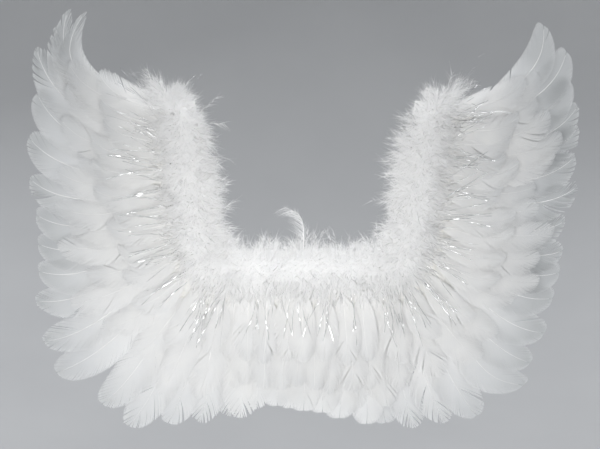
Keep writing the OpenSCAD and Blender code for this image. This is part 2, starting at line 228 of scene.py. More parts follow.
# ---- Materials ----
class Nodes:
    """A material, with short ways to add its nodes."""

    def __init__(self, name):
        self.mat = bpy.data.materials.new(name)
        self.mat.use_nodes = True
        self.tree = self.mat.node_tree
        self.bsdf = self.tree.nodes["Principled BSDF"]
        self.out = self.tree.nodes["Material Output"]

    def new(self, kind, **props):
        n = self.tree.nodes.new("ShaderNode" + kind)
        for k, v in props.items():
            setattr(n, k, v)
        return n

    def link(self, a, b):
        self.tree.links.new(a, b)

    def attr(self, name):
        return self.new("Attribute", attribute_name=name, attribute_type="GEOMETRY").outputs["Fac"]

    def math(self, op, a, b=None, c=None):
        n = self.new("Math", operation=op)
        for i, x in enumerate((a, b, c)):
            if x is None:
                continue
            if isinstance(x, (int, float)):
                n.inputs[i].default_value = x
            else:
                self.link(x, n.inputs[i])
        return n.outputs[0]

    def coords(self):
        return self.new("TexCoord").outputs["Object"]

    def noise(self, scale, detail=3.0, rough=0.5):
        n = self.new("TexNoise")
        n.inputs["Scale"].default_value = scale
        n.inputs["Detail"].default_value = detail
        n.inputs["Roughness"].default_value = rough
        self.link(self.coords(), n.inputs["Vector"])
        return n.outputs["Fac"]

    def wave(self, scale, distortion, direction):
        n = self.new("TexWave", wave_type="BANDS", bands_direction=direction)
        n.inputs["Scale"].default_value = scale
        n.inputs["Distortion"].default_value = distortion
        self.link(self.coords(), n.inputs["Vector"])
        return n.outputs["Fac"]

    def ramp(self, fac, *stops):
        n = self.new("ValToRGB")
        e = n.color_ramp.elements
        while len(e) < len(stops):
            e.new(0.5)
        for el, (p, c) in zip(e, stops):
            el.position = p
            el.color = (*c, 1)
        self.link(fac, n.inputs[0])
        return n.outputs[0]

    def mix(self, fac, a, b, blend="MIX"):
        n = self.new("Mix", data_type="RGBA", blend_type=blend)
        for s, x in ((n.inputs[0], fac), (n.inputs[6], a), (n.inputs[7], b)):
            if isinstance(x, (int, float)):
                s.default_value = x
            elif isinstance(x, tuple):
                s.default_value = (*x, 1)
            else:
                self.link(x, s)
        return n.outputs[2]

    def bump(self, height, strength, distance):
        n = self.new("Bump")
        n.inputs["Strength"].default_value = strength
        n.inputs["Distance"].default_value = distance
        self.link(height, n.inputs["Height"])
        self.link(n.outputs[0], self.bsdf.inputs["Normal"])

    def set(self, **sockets):
        for k, v in sockets.items():
            s = self.bsdf.inputs[k.replace("_", " ")]
            if isinstance(v, (int, float)):
                s.default_value = v
            elif isinstance(v, tuple):
                s.default_value = (*v, 1)
            else:
                self.link(v, s)

    def glow_through(self, share, colour):
        """Lets part of the light through, as a thin feather does."""
        t = self.new("BsdfTranslucent")
        t.inputs["Color"].default_value = (*colour, 1)
        m = self.new("MixShader")
        m.inputs[0].default_value = share
        self.link(self.bsdf.outputs[0], m.inputs[1])
        self.link(t.outputs[0], m.inputs[2])
        self.link(m.outputs[0], self.out.inputs["Surface"])


def vane_material():
    m = Nodes("feather_vane")
    edge, tone, barb = m.attr("edge"), m.attr("tone"), m.attr("barb")
    # Painted shade: the vanes turn grey towards their tips by the thin value, as if a dark ground showed
    # through the thin tips.
    body = m.ramp(m.attr("thin"), (0.0, (0.89, 0.885, 0.872)), (0.45, (0.84, 0.838, 0.83)),
                  (0.75, (0.64, 0.65, 0.655)), (1.0, (0.43, 0.445, 0.45)))
    shade = m.math("ADD", m.math("MULTIPLY", barb, 0.4), m.math("MULTIPLY", tone, 0.6))
    tint = m.ramp(shade, (0.0, (0.94, 0.944, 0.95)), (1.0, (1.0, 1.0, 0.997)))
    patch = m.ramp(m.noise(55.0, 3.0), (0.35, (0.96, 0.963, 0.968)), (0.65, (1.0, 1.0, 0.997)))
    colour = m.mix(1.0, m.mix(1.0, body, tint, "MULTIPLY"), patch, "MULTIPLY")
    colour = m.mix(m.math("MULTIPLY", m.math("POWER", edge, 9.0), 0.55), colour, (0.88, 0.885, 0.89))
    m.set(Base_Color=colour, Roughness=0.55, Sheen_Weight=0.25, Sheen_Roughness=0.4, Specular_IOR_Level=0.35)
    lines = m.math("SINE", m.math("MULTIPLY", m.attr("line"), 2 * math.pi * 3))
    m.bump(lines, 0.22, 0.0001)
    m.glow_through(0.28, (0.84, 0.84, 0.838))
    return m.mat


def quill_material():
    m = Nodes("feather_quill")
    along = m.attr("along")
    c = m.ramp(along, (0.0, (0.90, 0.885, 0.84)), (0.3, (0.92, 0.915, 0.905)), (1.0, (0.90, 0.90, 0.895)))
    grain = m.noise(900.0, 2.0)
    m.set(Base_Color=m.mix(0.04, c, grain), Roughness=0.34, Specular_IOR_Level=0.5)
    m.bump(grain, 0.15, 0.0001)
    return m.mat


def down_material():
    m = Nodes("marabou_down")
    tone, along = m.attr("tone"), m.attr("along")
    # Painted shade: fibres are darker towards their roots at the cord, standing in for the shade deep inside
    # the down, which casts no shadows.
    root = m.ramp(along, (0.0, (0.755, 0.755, 0.757)), (0.5, (0.79, 0.79, 0.79)), (1.0, (0.82, 0.82, 0.82)))
    tint = m.ramp(tone, (0.0, (0.84, 0.843, 0.85)), (0.6, (1.0, 1.0, 0.997)))
    colour = m.mix(1.0, root, tint, "MULTIPLY")
    m.set(Base_Color=colour, Roughness=0.9, Sheen_Weight=0.3, Sheen_Roughness=0.6, Specular_IOR_Level=0.15)
    m.bump(m.noise(1500.0, 2.0), 0.1, 0.0001)
    m.glow_through(0.35, (0.78, 0.782, 0.786))
    return m.mat


def tinsel_material():
    m = Nodes("tinsel_film")
    crinkle = m.noise(420.0, 4.0, 0.7)
    tone = m.attr("tone")
    # Painted reflection: the film's colour is kept well below bright silver, greyer in some strips at random,
    # standing in for dark surroundings mirrored in it.
    c = m.ramp(tone, (0.0, (0.5, 0.5, 0.51)), (0.7, (0.66, 0.665, 0.675)), (1.0, (0.88, 0.88, 0.89)))
    rough = m.math("MULTIPLY_ADD", crinkle, 0.2, 0.15)
    m.set(Base_Color=c, Metallic=1.0, Roughness=rough)
    m.bump(crinkle, 0.5, 0.0004)
    return m.mat


def felt_material():
    m = Nodes("white_felt")
    fibre = m.noise(1900.0, 4.0, 0.65)
    cloud = m.noise(70.0, 3.0)
    c = m.ramp(fibre, (0.3, (0.77, 0.77, 0.75)), (0.7, (0.89, 0.89, 0.875)))
    c = m.mix(1.0, c, m.ramp(cloud, (0.3, (0.94, 0.94, 0.93)), (0.7, (1.0, 1.0, 1.0))), "MULTIPLY")
    m.set(Base_Color=c, Roughness=0.95, Sheen_Weight=0.5, Sheen_Roughness=0.5, Specular_IOR_Level=0.2)
    m.bump(m.math("ADD", fibre, m.math("MULTIPLY", cloud, 0.6)), 0.55, 0.0006)
    return m.mat


def tape_material():
    m = Nodes("cotton_tape")
    weave = m.math("MULTIPLY", m.wave(420.0, 0.3, "X"), m.wave(420.0, 0.3, "Z"))
    c = m.ramp(weave, (0.0, (0.78, 0.77, 0.74)), (1.0, (0.90, 0.895, 0.875)))
    c = m.mix(m.ramp(m.noise(60.0), (0.6, (0, 0, 0)), (0.75, (0.3, 0.3, 0.3))), c, (0.85, 0.81, 0.70))
    m.set(Base_Color=c, Roughness=0.8, Specular_IOR_Level=0.3)
    m.bump(weave, 0.4, 0.0003)
    return m.mat


def pad_material():
    m = Nodes("brushed_pad_cloth")
    weave = m.math("ADD", m.wave(620.0, 1.2, "X"), m.wave(620.0, 1.2, "Z"))
    fuzz = m.noise(1500.0, 3.0, 0.6)
    c = m.ramp(m.math("MULTIPLY_ADD", weave, 0.25, m.math("MULTIPLY", fuzz, 0.5)),
               (0.2, (0.80, 0.80, 0.78)), (0.9, (0.90, 0.90, 0.885)))
    m.set(Base_Color=c, Roughness=0.9, Sheen_Weight=0.45, Sheen_Roughness=0.45, Specular_IOR_Level=0.25)
    m.bump(m.math("ADD", weave, fuzz), 0.35, 0.0003)
    return m.mat


def elastic_material():
    m = Nodes("woven_elastic")
    ribs = m.math("SINE", m.math("MULTIPLY", m.attr("across"), 2 * math.pi * 7))
    picks = m.math("SINE", m.math("MULTIPLY", m.attr("along"), 2 * math.pi * 260))
    h = m.math("ADD", ribs, m.math("MULTIPLY", picks, 0.45))
    c = m.ramp(m.math("MULTIPLY_ADD", h, 0.3, 0.5), (0.0, (0.74, 0.74, 0.72)), (1.0, (0.92, 0.92, 0.91)))
    m.set(Base_Color=c, Roughness=0.75, Sheen_Weight=0.3, Sheen_Roughness=0.5, Specular_IOR_Level=0.3)
    m.bump(h, 0.5, 0.0004)
    return m.mat


def thread_material():
    m = Nodes("sewing_thread")
    twist = m.wave(900.0, 1.5, "DIAGONAL")
    m.set(Base_Color=m.ramp(twist, (0.0, (0.70, 0.70, 0.68)), (1.0, (0.90, 0.90, 0.88))), Roughness=0.6,
          Sheen_Weight=0.2)
    m.bump(twist, 0.4, 0.0002)
    return m.mat


def wire_material():
    m = Nodes("drawn_steel")
    c = m.noise(300.0, 3.0)
    m.set(Base_Color=m.ramp(c, (0.3, (0.46, 0.47, 0.48)), (0.75, (0.68, 0.69, 0.71))), Metallic=1.0,
          Roughness=m.math("MULTIPLY_ADD", c, 0.25, 0.2))
    m.bump(m.noise(2500.0, 2.0), 0.12, 0.0001)
    return m.mat


def board_material():
    m = Nodes("stiff_board")
    f = m.noise(700.0, 4.0, 0.6)
    m.set(Base_Color=m.ramp(f, (0.3, (0.42, 0.31, 0.20)), (0.7, (0.60, 0.47, 0.32))), Roughness=0.85)
    m.bump(f, 0.3, 0.0003)
    return m.mat


VANE, QUILL, DOWN, TINSEL = vane_material(), quill_material(), down_material(), tinsel_material()
FELT, TAPE, PAD, ELASTIC = felt_material(), tape_material(), pad_material(), elastic_material()
THREAD, WIRE, BOARD = thread_material(), wire_material(), board_material()


# ---- Feathers ----
BARB_STEP = 1.15
PLACES = np.array([0, 0.16, 0.33, 0.5, 0.67, 0.83, 0.94, 1.0])  # places along a barb
WIDTHS = np.array([1.12, 1.12, 1.12, 1.1, 1.05, 0.9, 0.62, 0.22])  # its width there, in steps between barbs


def leaf(t, w, point):
    """Half a vane's width at share t of the feather's length: the larger point is, the slimmer its tip."""
    q = np.clip((t - 0.17) / 0.83, 0, 1)
    widest = 0.55 / (0.55 + point)
    top = widest ** 0.55 * (1 - widest) ** point
    return w / 2 * q ** 0.55 * np.clip(1 - q, 0, 1) ** point / top


def parted(rng, mid, fray):
    """How barbs at shares mid of a feather's length lean, in degrees, and their lengths as shares."""
    n = len(mid)
    part = np.zeros(n)
    # barbs lag before a split and lead after it
    for c in rng.uniform(0.35, 0.93, rng.integers(0, 2 + int(4 * fray))):
        reach, size = rng.uniform(0.05, 0.14), rng.uniform(0.8, 3.2) * (0.5 + 1.6 * fray)
        before = (mid > c - reach) & (mid <= c)
        after = (mid > c) & (mid < c + reach)
        part[before] += size * (mid[before] - c + reach) / reach
        part[after] -= size * (1 - (mid[after] - c) / reach)
    part += rng.normal(0, 0.15 + 0.25 * fray, n)
    ends = 1 + rng.normal(0, 0.006 + 0.012 * fray ** 2, n)
    # a worn tip clumps into fingers
    fingers = 16
    stops = np.cumsum([rng.uniform(0.66, 0.80), *rng.uniform(0.035, 0.085, fingers)])
    clump = np.searchsorted(stops, mid) - 1
    inside = (clump >= 0) & (clump < fingers)
    k = np.clip(clump, 0, fingers - 1)
    place = (mid - stops[k]) / (stops[k + 1] - stops[k]) - 0.5
    worn = np.clip((mid - 0.70) / 0.2, 0, 1) * inside * fray ** 2
    part += place * 26 * worn * rng.uniform(0.2, 1.0, fingers)[k]
    ends += worn * (rng.uniform(-0.22, 0.06, fingers)[k] - 0.05 * np.abs(place))
    return part, ends


def barb_reach(t, alpha, length, width, point):
    """How far barbs go that leave the quill at shares t and angles alpha, until they meet the outline."""
    lo, hi = np.zeros(len(t)), (1 - t) * length / np.cos(alpha)
    for _ in range(22):
        r = (lo + hi) / 2
        out = r * np.sin(alpha) > leaf(t + r * np.cos(alpha) / length, width, point)
        hi, lo = np.where(out, r, hi), np.where(out, lo, r)
    return hi


def vane(rng, s, length, width, fray, soft):
    """The barbs on one side of a quill, laid flat: x and y of their two edges, each (barbs, places)."""
    n = int(length * 0.82 / BARB_STEP)
    mid = np.linspace(0.16, 0.988, n)
    gap = mid[1] - mid[0]
    part, ends = parted(rng, mid, fray)
    sparse = soft * np.clip((mid - 0.35) / 0.4, 0, 1)
    ends *= 1 - sparse * rng.uniform(0, 0.3, n)
    taper = WIDTHS * (1 - 0.7 * sparse[:, None] * np.clip((PLACES - 0.2) / 0.6, 0, 1))
    edges = []
    for e in (-0.5, 0.5):
        t = np.clip(mid + e * gap, 0.155, 0.995)
        alpha = np.radians(52 - 30 * t ** 1.6 + part)
        r = barb_reach(t, alpha, length, width, 0.37 + 0.18 * fray) * ends
        x = t[:, None] * length + (r * np.cos(alpha))[:, None] * (PLACES + 0.10 * PLACES ** 2)
        y = s * (0.3 + (r * np.sin(alpha))[:, None] * PLACES * (1 + 0.16 * (1 - PLACES)))
        edges.append((x, y))
    (xa, ya), (xb, yb) = edges
    k = taper / 2 - 0.5
    return (xa - (xb - xa) * k, ya - (yb - ya) * k), (xb + (xb - xa) * k, yb + (yb - ya) * k)


def base_down(rng, length, width, tau):
    """The loose down at the base of a feather, laid flat: x and y of its fibres at shares tau."""
    n = 26
    t = rng.uniform(0.06, 0.22, n)
    s = rng.choice([-1, 1], n)
    a = np.radians(rng.uniform(35, 80, n))
    l = rng.uniform(7, 15, n) * width / FLIGHT_WIDTH
    x = t[:, None] * length + (l * np.cos(a))[:, None] * tau + rng.uniform(0, 5, n)[:, None] * tau ** 2
    y = s[:, None] * (l * np.sin(a))[:, None] * tau
    return x, y * 0.9


def feather(bag, root, h, angle, pitch, tilt, length, width, bow, side, rng, fray, thin, quill, arch=0.0,
            hook=0.0, inner_limit=None, lift=1.0, soft=0.0):
    """One feather: a tapered quill, two vanes of separate barbs that part in places, and down at the base.

    bow bends it most near the tip and arch all along; hook curls the last of it further over.
    fray goes from 0, whole, to 1, ragged. thin is how much painted shade greys the tip, as if a dark
    ground showed through it; quill scales the quill, lift scales how far it stands off its neighbours,
    and soft thins the barbs out towards the tip.
    """
    tone = rng.uniform(0, 1)
    cup = rng.uniform(0.5, 1.3) * lift
    rise = rng.uniform(-1.6, 2.2) * lift
    twist = rng.uniform(-0.03, 0.03)
    lead = rng.uniform(0.86, 1.0)

    def shape(x, y):
        """Bends flat feather coordinates: bow, cup, curl and twist."""
        t = np.clip(x / length, 0, 1.1)
        bend = 6.75 * bow * t ** 2 * (1 - t) + 4 * arch * t * (1 - t)
        bend = bend + 11 * hook * np.clip(t - 0.7, 0, None) ** 2
        z = -cup * (y / (width / 2)) ** 2 + rise * np.clip(t - 0.45, 0, None) ** 2 * 3.3 + twist * y * t * 2
        return np.stack([x, y - bend, z], -1)

    def settle(p):
        """Turns the bent feather by tilt, pitch and angle, and moves it to its root."""
        a, b, c = math.radians(angle), math.radians(pitch), math.radians(tilt)
        x, y, z = p[..., 0], p[..., 1], p[..., 2]
        y, z = y * math.cos(c) - z * math.sin(c), y * math.sin(c) + z * math.cos(c)
        x, z = x * math.cos(b) - z * math.sin(b), x * math.sin(b) + z * math.cos(b)
        x, y = x * math.cos(a) - y * math.sin(a), x * math.sin(a) + y * math.cos(a)
        return put(root[0] + x, root[1] + y, h + z, side)

    for s in (1, -1):
        (x0, y0), (x1, y1) = vane(rng, s, length, width * (lead if s == 1 else 1.0), fray, soft)
        n = len(x0)
        a, b = shape(x0, y0), shape(x1, y1)
        shingle = (0.02 + 0.035 * rng.uniform(size=n))[:, None] * PLACES
        a[..., 2] -= shingle
        b[..., 2] += shingle + rng.normal(0, 0.02 + 0.15 * fray ** 2, n)[:, None] * PLACES ** 2
        v = settle(np.stack([a, b], 2))
        if inner_limit is not None:
            v[..., 0] = side * np.maximum(side * v[..., 0], (inner_limit + 0.02 * PLACES[:, None]) / 1000)
        barb = rng.uniform(0, 1, n)[:, None, None]
        line = np.arange(n)[:, None, None] + np.array([0.0, 1.0])
        # painted shade towards the tip: the share of the length out from the root, scaled by thin
        far = np.clip(np.stack([x0, x1], 2) / length, 0, 1) * thin
        bag.add(v, strip_quads(n, len(PLACES)), 0, barb=barb, edge=PLACES[:, None], line=line, tone=tone,
                thin=far)
    # the quill
    t = np.linspace(0.0, 0.975, 26)
    q = shape(t * length, np.zeros(26))
    q[:, 2] += 0.25 * quill
    rad = (1.0 * (1 - t) ** 0.9 + 0.15) * (0.7 + 0.3 * width / FLIGHT_WIDTH) * quill
    v, f = tube(q, rad, 6, flat=0.75)
    bag.add(settle(v), f, 1, along=np.repeat(t, 6), tone=tone)
    # down at the base
    tau = np.array([0, 0.35, 0.7, 1.0])
    x, y = base_down(rng, length, width, tau)
    c = shape(x, y)
    c[..., 2] += rng.normal(0, 0.5, len(x))[:, None] * tau
    across = np.gradient(c, axis=1)[..., [1, 0, 2]] * (1, -1, 1)
    v, f = ribbons(c, across, 0.35 * (1.1 - tau) * np.ones(x.shape))
    v = settle(v)
    if inner_limit is not None:
        v[..., 0] = side * np.maximum(side * v[..., 0], inner_limit / 1000)
    bag.add(v, f, 2, tone=tone, along=0.6)


def wing_row(side, name, nodes, first, last, seed):
    """The flight feathers first to last of a wing."""
    rng = np.random.default_rng(seed)
    bag = Bag()
    # painted shade: the right wing's tips are greyed more than the left's, for light that falls off towards
    # the right
    more_bow, slimmer, tip_shade = (4, 6, 1.35) if side > 0 else (22, 12, 1.1)
    for i in range(first, last + 1):
        d = root_at(FLIGHT_U, i, FLIGHT_N)
        length, angle, _ = fan(side, d)
        x, z, _ = spine(FLIGHT_U, d)
        tip = max(i - 12, 0) / 5  # 0 up to the last five feathers, then up to 1
        bow = np.interp(d, AT, BOW) + more_bow * tip ** 2
        fray = 0.3 + 0.7 * rng.uniform(0, 1) ** 2 if z < -10 else rng.uniform(0.0, 0.85)
        sway = 2.6 if 3 < i < 14 else 1.2
        angle += rng.uniform(-sway, sway)
        length *= rng.uniform(0.95, 1.04)
        width = (FLIGHT_WIDTH - slimmer * tip) * rng.uniform(0.95, 1.03)
        if side < 0 and i > 13:  # the ragged feathers at the top of the left wing
            fray = rng.uniform(0.6, 0.85)
        elif side > 0 and i > 15:  # the two whole ones at the top of the right wing
            fray = 0.1
        curl = side > 0 and i == 4  # one feather low on the right curls up at its end
        feather(bag, (x, z), FLIGHT_H, angle, -1.5, -6, length, width, bow, side, rng,
                fray=fray, arch=tip * 4, hook=-14.0 if curl else 0.0,
                inner_limit=FOLD_X + 0.6 if i < 3 else None,
                thin=np.interp(d, CORNER_TO_SIDE, (0.76, tip_shade)),
                quill=np.interp(d, CORNER_TO_SIDE, (0.55, 0.95)))
    ob = bag.make(name, [VANE, QUILL, DOWN])
    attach(ob, SIDES[side] + "_wing")
    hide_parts(nodes)


def upper_row(side, name, node, n, u, h, pitch, follow, length, width, seed):
    """A row of shorter feathers on a wing; follow is how much they lean the way the flight feathers do."""
    rng = np.random.default_rng(seed)
    bag = Bag()
    for i in range(n):
        d = root_at(u, i, n)
        x, z, out = spine(u, d)
        _, direct, _ = fan(side, shifted(d, u, FLIGHT_U))
        angle = out + follow * (direct - out)
        angle += rng.uniform(-5, 5)
        tilt = -5 + rng.uniform(-1, 1)
        long = length * rng.uniform(0.82, 1.1)
        wide = width * rng.uniform(0.88, 1.1)
        bow = 0.7 * np.interp(shifted(d, u, FLIGHT_U), AT, BOW) + rng.uniform(-2, 3)
        # the upper rows' tips get less painted shade than the flight feathers'
        feather(bag, (x, z), h, angle, pitch * 0.86, tilt, long, wide, bow, side, rng,
                fray=rng.uniform(0.0, 0.6), inner_limit=FOLD_X + 0.6 if i < 3 else None,
                thin=np.interp(d, CORNER_TO_SIDE, (0.5, 0.75)), lift=0.3, quill=0.5, soft=0.45)
    ob = bag.make(name, [VANE, QUILL, DOWN])
    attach(ob, SIDES[side] + "_wing")
    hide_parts(node)


def centre_row(name, node, n, u, h, pitch, tips, width, seed):
    """A row of feathers on the back panel, whose tips are near the line through tips (x, then z)."""
    rng = np.random.default_rng(seed)
    bag = Bag()
    end = FOLD_X - 9
    lap, soft = (3.4, 0.0) if u == FLIGHT_U else (2.0, 0.5)  # lap lifts the outer feathers over the wings'
    for i in range(n):
        x = end * (2 * i / (n - 1) - 1)
        z = BAR_Z - u
        above = h + (1.3 if abs(x) < 8 else lap * (x / end) ** 2)
        angle = -90 + x * 0.06 + rng.uniform(-2.5, 2.5)
        tilt = 6 * np.clip(x / 20, -1, 1)
        length = (z - np.interp(x, *tips)) * rng.uniform(0.93, 1.03)
        wide = width * rng.uniform(0.9, 1.04)
        bow = rng.uniform(-3, 3)
        fray = 0.2 + 0.8 * rng.uniform(0, 1) ** 2
        # thin=0.6: the same painted shade on every centre feather's tip
        feather(bag, (x, z), above, angle, pitch, tilt, length, wide, bow, 1, rng, fray=fray, thin=0.6,
                lift=0.45, quill=0.6, soft=soft)
    ob = bag.make(name, [VANE, QUILL, DOWN])
    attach(ob, "back_panel")
    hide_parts(node)


# ---- Marabou ----
LAYERS = (
    # name, tufts, fibres in each, reach of a tuft, length of a fibre, width of a fibre, wisps
    ("_marabou_edge", 700, 28, (8, 13), (7, 12), 0.6, 10),
    ("_marabou_down", 1000, 31, (14, 21), (10, 17), 0.5, 20),
    ("_marabou_fluff", 1000, 31, (20, 28), (10, 17), 0.4, 70),
)


def down_fibres(bag, base, axis, reach, per, rng, spread, fibre, width):
    """Tufts of down: each has an axis from base, and fibres that leave it at an angle. All in mm, (n, 3).

    Returns the directions that the fibres are shaded towards.
    """
    n = len(base)
    bend = rng.normal(0, 0.18, (n, 3))
    a0 = rng.uniform(0.03, 1.0, (n, per)) ** 0.7
    along = reach[:, None] * a0
    start = base[:, None] + axis[:, None] * along[..., None]
    start = start + bend[:, None] * (along ** 2 / reach[:, None])[..., None]
    e = rng.normal(size=(n, per, 3))
    e -= (e * axis[:, None]).sum(-1, keepdims=True) * axis[:, None]
    e = unit(e)
    g = np.radians(rng.uniform(*spread, (n, per)))[..., None]
    d = axis[:, None] * np.cos(g) + e * np.sin(g)
    l = rng.uniform(*fibre, (n, per)) * (1.15 - 0.5 * a0)
    curve = axis[:, None] * rng.uniform(0.0, 0.35, (n, per, 1)) + rng.normal(0, 0.25, (n, per, 3))
    tau = np.array([0, 0.36, 0.72, 1.0])
    c = start[:, :, None] + d[:, :, None] * (l[..., None] * tau)[..., None] \
        + curve[:, :, None] * (l[..., None] * tau ** 2)[..., None]
    c[..., 2] -= 0.2 * (l[..., None] * tau ** 2)
    c = c.reshape(n * per, 4, 3)
    flow = d.reshape(-1, 3)
    out = unit(np.repeat(axis, per, 0) + np.array([0, -0.5, 0]) + rng.normal(0, 0.35, (n * per, 3)))
    across = unit(np.cross(flow, out))
    w = width * (1.08 - tau)[None, :] * rng.uniform(0.7, 1.3, (n * per, 1))
    v, q = ribbons(c / 1000, across[:, None] * np.ones((1, 4, 1)), w / 1000)
    tone = np.repeat(rng.uniform(0, 1, n), per)[:, None, None]
    # how far out from the cord each point is, which sets the painted shade towards the roots
    far = (a0 * 0.7).reshape(-1, 1, 1) + (tau * 0.3)[:, None]
    bag.add(v, q, 0, tone=tone, along=far)
    return np.repeat(axis, per * 8, 0)


def tufts(rng, n, total, reach, back=-80, peaks=()):
    """Where n tufts of the edge leave the cord: base, axis and reach. All in mm, on the right side.

    Near a peak, the tufts on the neck side stand up tall.
    """
    d = np.sort(rng.uniform(-2, total, n))
    x, z, out = spine(TRIM_U, d)
    x = x + 14 * np.clip((d - total + 42) / 42, 0, 1) ** 1.5  # the end of the arm leans out
    phi = rng.uniform(back, 180 - back, n)  # round the cord: 0 outward, 90 to the front, 180 to the neck
    o = np.radians(out)
    outward = np.stack([np.cos(o), np.zeros(n), np.sin(o)], -1)
    along = np.stack([-np.sin(o), np.zeros(n), np.cos(o)], -1)
    p = np.radians(phi)
    radial = outward * np.cos(p)[:, None] + np.array([0.0, -1.0, 0.0]) * np.sin(p)[:, None]
    end = np.clip((d - (total - 24)) / 24, 0, 1)  # the tufts splay past the end of the arm
    axis = unit(radial + along * (rng.normal(0, 0.45, n) + 1.5 * end)[:, None] + rng.normal(0, 0.12, (n, 3)))
    base = np.stack([x, BASE_Y - np.full(n, TRIM_H - 4), z], -1) + radial * 4
    far = rng.uniform(*reach, n) * np.where(np.sin(p) > 0.5, 0.72, 1.0) * np.where(np.cos(p) > 0.3, 1.28, 1.0)
    lush = 1 + 0.16 * np.sin(d / 7.0 + 1.4) + 0.14 * np.sin(d / 2.9)
    lush = np.where(np.cos(p) < -0.2, lush - 0.1 * (d < 84), 0.5 + 0.5 * lush)
    lush = lush * np.where((np.cos(p) < 0.2) & (d > total - 26), 0.62, 1.0)
    for at in peaks:
        lush = lush + 0.75 * np.exp(-((d - at) / 4) ** 2) * (np.cos(p) < -0.8) * rng.uniform(0, 1, n)
    return base, axis, far * lush * (1 + 0.25 * end)


def squeezed(past, room):
    """How far down is pushed back, from past a limit into the room behind it."""
    past = np.clip(past, 0, None)
    return past - room * (1 - np.exp(-past / room))


def marabou_layer(side, rng, name, count, per, reach, fibre, width, wisps, core, peaks):
    """One layer of half of the edge: from the middle of the bar, over the fold and up the arm."""
    total = BAR + arc(TRIM_U) + ARM + (5 if side < 0 else -3)
    count = int(count * (1.0))
    bag = Bag()
    base, axis, far = tufts(rng, count, total, reach, peaks=peaks)
    toward = [down_fibres(bag, base, axis, far, per, rng, (14, 52), fibre, width)]
    base, axis, far = tufts(rng, wisps, total, (reach[1] - 2, reach[1] + 4), -20)
    toward.append(down_fibres(bag, base, axis, far, 12, rng, (6, 32), (9, 15), 0.24))
    for v, q in zip(bag.points, bag.quads):
        v[:, 0] *= side
        y = v[:, 1]
        y += squeezed(-y - 0.058, 0.018)  # the front is pressed a little flatter than the sides
        y -= squeezed(y + 0.024, 0.008)  # and none of it goes through the felt
        q[:] = q[:, ::side]
    toward = np.concatenate(toward)
    toward[:, 0] *= side
    toward = [unit(toward * 0.5 + np.array([0, -0.85, 0.05]) + rng.normal(0, 0.28, toward.shape))]
    if core:
        # the wound quills that the tufts grow from
        d = np.linspace(-1, total - 8, 140)
        x, z, _ = spine(TRIM_U, d)
        line = put(x, z, np.full(140, TRIM_H - 4), side) + rng.normal(0, 0.0004, (140, 3))
        v, q = tube(line, (7.5 + rng.normal(0, 0.8, 140)) / 1000, 12, up=(0, 1, 0))
        # along=0.3 gives the core the painted shade of the inside of the down
        bag.add(v, q, 0, tone=0.6, along=0.3)
        toward.append(unit(v - np.repeat(line, 12, 0)))
    ob = bag.make(SIDES[side] + name, [DOWN], normals=np.concatenate(toward))
    ob.visible_shadow = False  # down scatters light and hardly stops it
    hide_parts(SIDES[side] + "_trim", SIDES[side] + "_trim_cord", "centre_trim", "centre_trim_cord")
    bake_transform(ob)


def marabou(side, seed):
    rng = np.random.default_rng(seed)
    peaks = (17, 84, 142) if side > 0 else (24, 33, 98, 150)
    for k, layer in enumerate(LAYERS):
        marabou_layer(side, rng, *layer, core=k == 0, peaks=peaks if k else ())


def plume():
    """The small plume that has worked loose from the middle of the edge and stands up in a curl."""
    rng = np.random.default_rng(77)
    bag = Bag()
    t = np.linspace(0, 1, 30)
    x, y, z = -2 + 4 * t ** 2 - 24 * t ** 5, BASE_Y - 25 - 4 * t ** 2, 46 + 62 * t - 10.5 * t ** 3
    line = np.stack([x, y, z], -1)
    v, q = tube(line / 1000, (0.4 * (1 - t) + 0.06) / 1000, 6)
    bag.add(v, q, 1, along=0.5, tone=0.7)
    n = 170
    at = rng.uniform(0.25, 1.0, n)
    base = np.stack([np.interp(at, t, line[:, k]) for k in range(3)], -1)
    run = unit(np.stack([np.interp(at, t, np.gradient(line[:, k])) for k in range(3)], -1))
    s = np.where(rng.uniform(size=n) < 0.25, 1.0, -1.0)
    cross = np.stack([run[:, 2], np.zeros(n), -run[:, 0]], -1)
    a = np.radians(np.where(s > 0, rng.uniform(8, 26, n), rng.uniform(28, 52, n) * (1.2 - 0.5 * at)))[:, None]
    d = unit(run * np.cos(a) + cross * s[:, None] * np.sin(a) + rng.normal(0, 0.07, (n, 3)))
    l = rng.uniform(12, 19, n) * np.clip(1.5 - 0.8 * at, 0.6, 1) * np.where(s > 0, 0.4, 1.0)
    tau = np.array([0, 0.25, 0.5, 0.75, 1.0])
    droop = rng.normal(0, 0.1, (n, 1, 3)) + (cross * s[:, None] * 0.3)[:, None]
    reach = l[:, None] * tau
    c = base[:, None] + d[:, None] * reach[..., None] + droop * (reach * tau)[..., None]
    across = unit(np.cross(d, np.array([0, -1.0, 0]) + rng.normal(0, 0.3, (n, 3))))
    across = across[:, None] * np.ones((1, 5, 1))
    v, q = ribbons(c / 1000, across, 0.2 / 1000 * (1.08 - tau)[None] * np.ones((n, 1)))
    bag.add(v, q, 0, tone=0.9, along=0.9)
    ob = bag.make("loose_marabou_plume", [DOWN, QUILL])
    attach(ob, "back_panel")
    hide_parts("loose_plume")


# ---- Tinsel ----
STRIP_WIDTH = 0.0004


